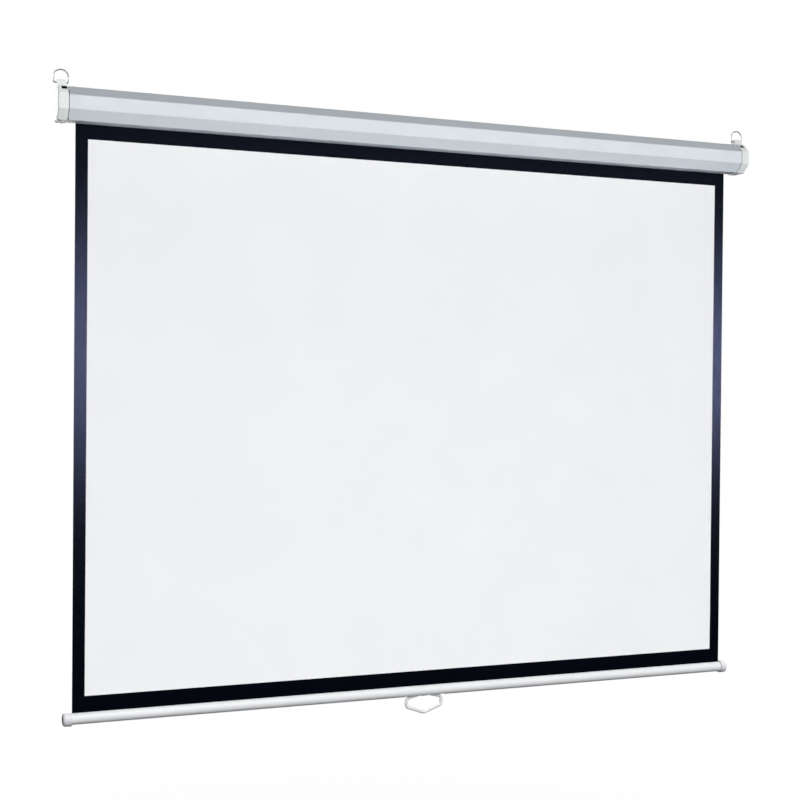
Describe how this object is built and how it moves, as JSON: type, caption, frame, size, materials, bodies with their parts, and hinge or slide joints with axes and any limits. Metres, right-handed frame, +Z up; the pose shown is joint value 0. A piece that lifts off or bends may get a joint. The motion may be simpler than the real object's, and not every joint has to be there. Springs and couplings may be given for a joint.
{
  "type": "pull down projector screen",
  "caption": "Hand-pulled projection screen: octagonal wall case with hanging rings, spring roller, matt white sheet with black borders, round bottom bar and pull handle.",
  "frame": {"origin": "middle of the case's back face, which lies against the wall", "axes": "+X along the case to the viewer's right, +Y from the viewer into the wall, +Z up"},
  "size_m": [1.7458, 0.0815, 1.4448],
  "materials": {
    "painted_steel": "satin off-white powder coat on rolled steel sheet",
    "white_plastic": "satin white moulded plastic",
    "natural_plastic": "natural uncoloured moulded plastic",
    "bright_steel": "bright nickel-plated steel",
    "spring_steel": "oiled steel wire and turned steel",
    "painted_bar": "satin off-white paint on steel tube",
    "screen_cloth": "matt white coated cloth with printed black borders",
    "dark_cloth": "black coated back of the screen cloth"
  },
  "bodies": {
    "case": {"case_shell": "painted_steel", "left_end_cap": "white_plastic", "right_end_cap": "white_plastic", "left_cap_screw_lower": "spring_steel", "left_cap_screw_upper": "spring_steel", "right_cap_screw_lower": "spring_steel", "right_cap_screw_upper": "spring_steel", "spring_arbor": "spring_steel", "spring_collar": "natural_plastic", "torsion_spring": "spring_steel", "lock_hub": "spring_steel", "idler_pin": "spring_steel"},
    "roller": {"roller_tube": "bright_steel", "sheet_wraps": "dark_cloth", "roller_plug_left": "natural_plastic", "roller_plug_right": "natural_plastic", "idler_bush": "natural_plastic", "upper_pawl_pin": "spring_steel", "lower_pawl_pin": "spring_steel"},
    "pawl_up": {"upper_pawl": "natural_plastic"},
    "pawl_down": {"lower_pawl": "natural_plastic"},
    "bar": {"screen_sheet": "screen_cloth", "hem_rod": "natural_plastic", "bar_tube": "painted_bar", "bar_cap_left": "white_plastic", "bar_cap_right": "white_plastic", "handle_strap": "bright_steel"},
    "handle": {"pull_handle": "white_plastic"},
    "ring_left": {"left_hang_ring": "bright_steel"},
    "ring_right": {"right_hang_ring": "bright_steel"}
  },
  "joints": [
    {"name": "bar_pull", "type": "slide", "parent": "case", "child": "bar", "axis": [0, 0, 1], "range_m": [0, 1.26], "deforming": ["screen_sheet"]},
    {"name": "roller_spin", "type": "hinge", "parent": "case", "child": "roller", "pos_m": [0, -0.04, 0], "axis": [1, 0, 0], "range_deg": [-5, 3245]},
    {"name": "upper_pawl_drop", "type": "hinge", "parent": "roller", "child": "pawl_up", "pos_m": [-0.8506, -0.04, 0.017], "axis": [1, 0, 0], "range_deg": [-21, 0]},
    {"name": "lower_pawl_drop", "type": "hinge", "parent": "roller", "child": "pawl_down", "pos_m": [-0.8506, -0.04, -0.017], "axis": [1, 0, 0], "range_deg": [-21, 0]},
    {"name": "handle_swing", "type": "hinge", "parent": "bar", "child": "handle", "pos_m": [0.0008, -0.0188, -1.3227], "axis": [1, 0, 0], "range_deg": [-50, 50]},
    {"name": "left_ring_swing", "type": "hinge", "parent": "case", "child": "ring_left", "pos_m": [-0.8558, -0.038, 0.0455], "axis": [1, 0, 0], "range_deg": [-100, 100]},
    {"name": "right_ring_swing", "type": "hinge", "parent": "case", "child": "ring_right", "pos_m": [0.8558, -0.038, 0.0455], "axis": [1, 0, 0], "range_deg": [-100, 100]}
  ],
  "couplings": [
    {"joint": "roller_spin", "follows": "bar_pull", "rad_per_m": 44.88}
  ]
}
